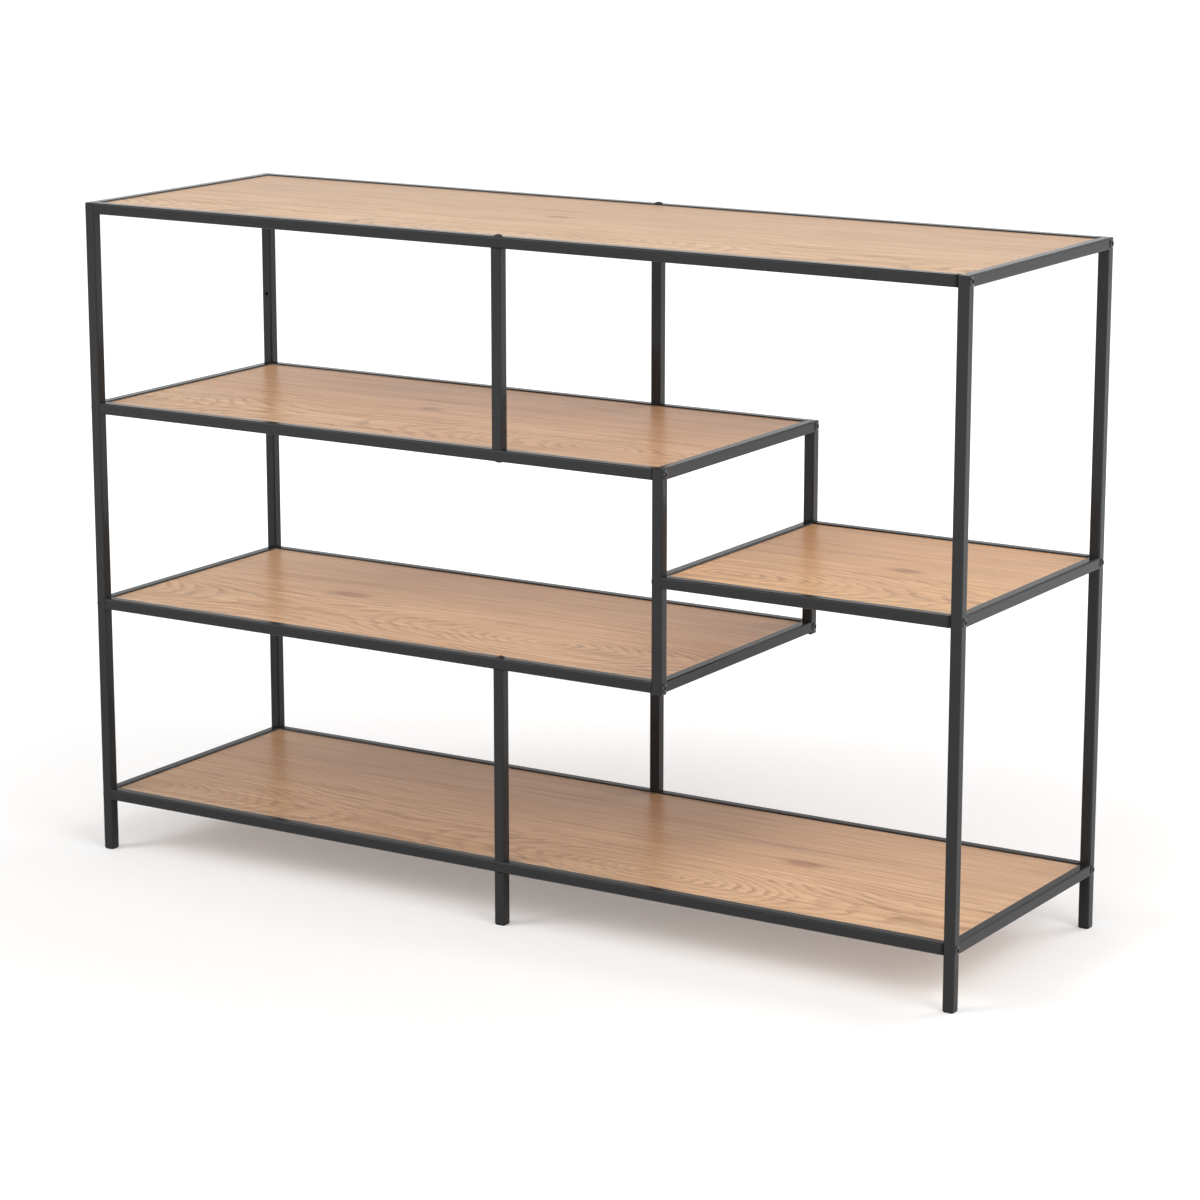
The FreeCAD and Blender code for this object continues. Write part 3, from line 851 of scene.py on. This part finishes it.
def screw_grid():
    """A low dome over a disc, less a cross whose floor rises towards the ends of its arms.

    With a the smaller and b the larger of |x| and |y|, a point is in the cross where a is under the slot's
    half width and b under its length, each with a soft edge.
    """
    angle = np.linspace(0, math.tau, SCREW_COLUMNS + 1)
    radius = np.linspace(0, SCREW_RADIUS, SCREW_ROWS)[:, None] * np.ones_like(angle)
    x, y = radius * np.cos(angle), radius * np.sin(angle)
    near = np.minimum(abs(x), abs(y))
    far = np.maximum(abs(x), abs(y))
    inside = np.clip((SLOT_HALF_WIDTH - near) / SLOT_EDGE + 0.5, 0, 1)
    inside = inside * np.clip((SLOT_LENGTH - far) / SLOT_EDGE + 0.5, 0, 1)
    height = dome(radius, SCREW_RADIUS, SCREW_RIM, SCREW_HEIGHT)
    height = height - SLOT_DEPTH * inside * (1 - far / (2 * SLOT_LENGTH))
    head = np.stack([x, y, height], axis=-1)
    seat = np.stack([x[-1], y[-1], 0 * angle], axis=-1)
    points = np.concatenate([head, seat[None], 0 * seat[None]])
    return points.reshape(-1, 3) * MM, grid_faces(len(points), SCREW_COLUMNS + 1)


screw_points, screw_faces = screw_grid()
print(f"one screw head: {len(screw_faces)} faces")

# %% [markdown]
# ## One screw to a tab
#
# The tabs are one node, so there are no single boxes to read their places from. Their corners are in the
# mesh, though, and four lower corners make one tab.

# %% Place the screws
CORNER_DIGITS = 5


def tab_undersides():
    """The middle of every tab's underside, as the mean of its four lower corners.

    The heights of the corners come in pairs, an underside and a top, so every second one is an underside.
    """
    mesh = nodes["board_tabs"].data
    corners = np.empty(3 * len(mesh.vertices))
    mesh.vertices.foreach_get("co", corners)
    corners = np.unique(np.round(corners.reshape(-1, 3), CORNER_DIGITS), axis=0)
    lower = corners[np.isin(corners[:, 2], np.unique(corners[:, 2])[::2])]
    x, y, z = lower.T
    order = np.lexsort((y, x, np.sign(y), z))
    return lower[order].reshape(-1, 4, 3).mean(axis=1)


screw_places = tab_undersides()
screw_turns = np.tile(DOWN, (len(screw_places), 1, 1))
placed = copies(screw_points, screw_faces, screw_turns, screw_places)
add_piece("board_screws", *placed, zinc, "hidden_steel")
print(f"{len(screw_places)} screws, the first at {np.round(screw_places[0], 4)}")

# %% [markdown]
# ## The floor
#
# A product photograph like this one is taken on a white sweep under large soft lamps. The floor is a pale
# sheet that fills the picture. Away from the lamps it would turn grey, so there it is lifted to white, for
# the camera and for reflections only: the lift lights nothing, and the shadow under the shelf stays. From
# below the floor is clear, so that the undersides can be looked at.

# %% Build the floor
FLOOR_REACH = 40.0
FLOOR_ROUGHNESS = 0.9
FLOOR_TONE = (0.8, 0.8, 0.8, 1.0)
WHITE = (1.0, 1.0, 1.0, 1.0)
NEAR_LIFT = 0.22
FAR_LIFT = 0.66
NEAR_REACH = 0.8
FAR_REACH = 3.2
# The lift grows with the distance from this place in front of the shelf, where the lamps give most light
LIFT_START = (0.0, -0.8, 0.0)


def seen_directly(tree):
    """1 where a ray comes from the camera, a mirror or through glass, else 0."""
    path = put(tree, "ShaderNodeLightPath").outputs
    seen = sums(tree, "MAXIMUM", path["Is Camera Ray"], path["Is Glossy Ray"])
    return sums(tree, "MAXIMUM", seen, path["Is Transmission Ray"])


def make_sweep():
    """White that is lifted with distance, and clear from below."""
    finish = {"Base Color": FLOOR_TONE, "Roughness": FLOOR_ROUGHNESS, "Emission Color": WHITE}
    material, tree, shader = new_material("white_sweep", finish)
    spots = {0: put(tree, "ShaderNodeTexCoord").outputs["Object"], 1: LIFT_START}
    away = put(tree, "ShaderNodeVectorMath", spots, operation="DISTANCE").outputs["Value"]
    lift = ease(tree, away, NEAR_REACH, FAR_REACH, NEAR_LIFT, FAR_LIFT)
    send(tree, shader, {"Emission Strength": sums(tree, "MULTIPLY", seen_directly(tree), lift)})
    below = put(tree, "ShaderNodeNewGeometry").outputs["Backfacing"]
    clear = put(tree, "ShaderNodeBsdfTransparent").outputs[0]
    sheet = put(tree, "ShaderNodeMixShader", {0: below, 1: shader.outputs[0], 2: clear}).outputs[0]
    send(tree, tree.nodes["Material Output"], {"Surface": sheet})
    return material


floor_mesh = bpy.data.meshes.new("floor")
floor_corners = FLOOR_REACH * np.array([[-1, -1, 0], [1, -1, 0], [1, 1, 0], [-1, 1, 0]])
floor_mesh.from_pydata(floor_corners.tolist(), [], [(0, 1, 2, 3)])
floor_mesh.materials.append(make_sweep())
floor = bpy.data.objects.new("floor", floor_mesh)
scene.collection.objects.link(floor)
print(f"floor {2 * FLOOR_REACH:.0f} m square, lifted by {NEAR_LIFT} near the shelf and {FAR_LIFT} far off")

# %% [markdown]
# ## The light
#
# Coated steel shows much of what it mirrors. The tops of the upper tubes mirror the bright backdrop low
# behind the shelf, those of the lower tubes the dimmer studio above it. A picture of a studio could be
# wrapped round the scene, but one ramp is enough: the world is bright at the horizon and dims with height.

# %% Light the studio
BACKDROP_LIGHT = 1.0
STUDIO_LIGHT = 0.44
BACKDROP_EDGE = 7.0
STUDIO_EDGE = 20.0

world = bpy.data.worlds.new("studio")
scene.world = world
world.use_nodes = True
tree = world.node_tree
background = tree.nodes["Background"]
background.inputs["Color"].default_value = WHITE
direction = put(tree, "ShaderNodeTexCoord").outputs["Generated"]
_, _, up = put(tree, "ShaderNodeSeparateXYZ", {0: direction}).outputs
edges = [math.sin(math.radians(angle)) for angle in (BACKDROP_EDGE, STUDIO_EDGE)]
send(tree, background, {"Strength": ease(tree, up, *edges, BACKDROP_LIGHT, STUDIO_LIGHT)})
print(f"backdrop at {BACKDROP_LIGHT} up to {BACKDROP_EDGE} degrees, then down to {STUDIO_LIGHT}")

# %% [markdown]
# ## The lamps
#
# Four soft lamps do the rest: two in front, one to the right, and one behind, so that the back of the shelf
# isn't in the dark. A sun would be simpler, but its shadows are hard. Large squares of light give soft ones,
# and they stand far off, which keeps their light even over the shelf.

# %% Set up the lamps
SHELF_MIDDLE = (0.0, 0.0, 0.4)


def soft_lamp(name, place, size, power):
    """A square lamp that points from its place at the middle of the shelf."""
    lamp = bpy.data.lights.new(name, "AREA")
    lamp.size = size
    lamp.energy = power
    holder = bpy.data.objects.new(name, lamp)
    holder.location = place
    away = holder.location - Vector(SHELF_MIDDLE)
    holder.rotation_euler = away.to_track_quat("Z", "Y").to_euler()
    holder.visible_camera = False
    scene.collection.objects.link(holder)
    print(f"{name} lamp: {power:.0f} W, {away.length:.1f} m away")


soft_lamp("key", place=(-3.1, -3.7, 3.6), size=2.6, power=130.0)
soft_lamp("right", place=(4.2, -1.6, 3.4), size=2.8, power=105.0)
soft_lamp("fill", place=(1.2, -5.0, 3.8), size=4.0, power=75.0)
soft_lamp("rear", place=(3.0, 4.4, 3.8), size=2.8, power=110.0)

# %% [markdown]
# ## Colours as written
#
# The Standard view shows a colour as it is written, with no film look on top.

# %% Finish
scene.view_settings.view_transform = "Standard"
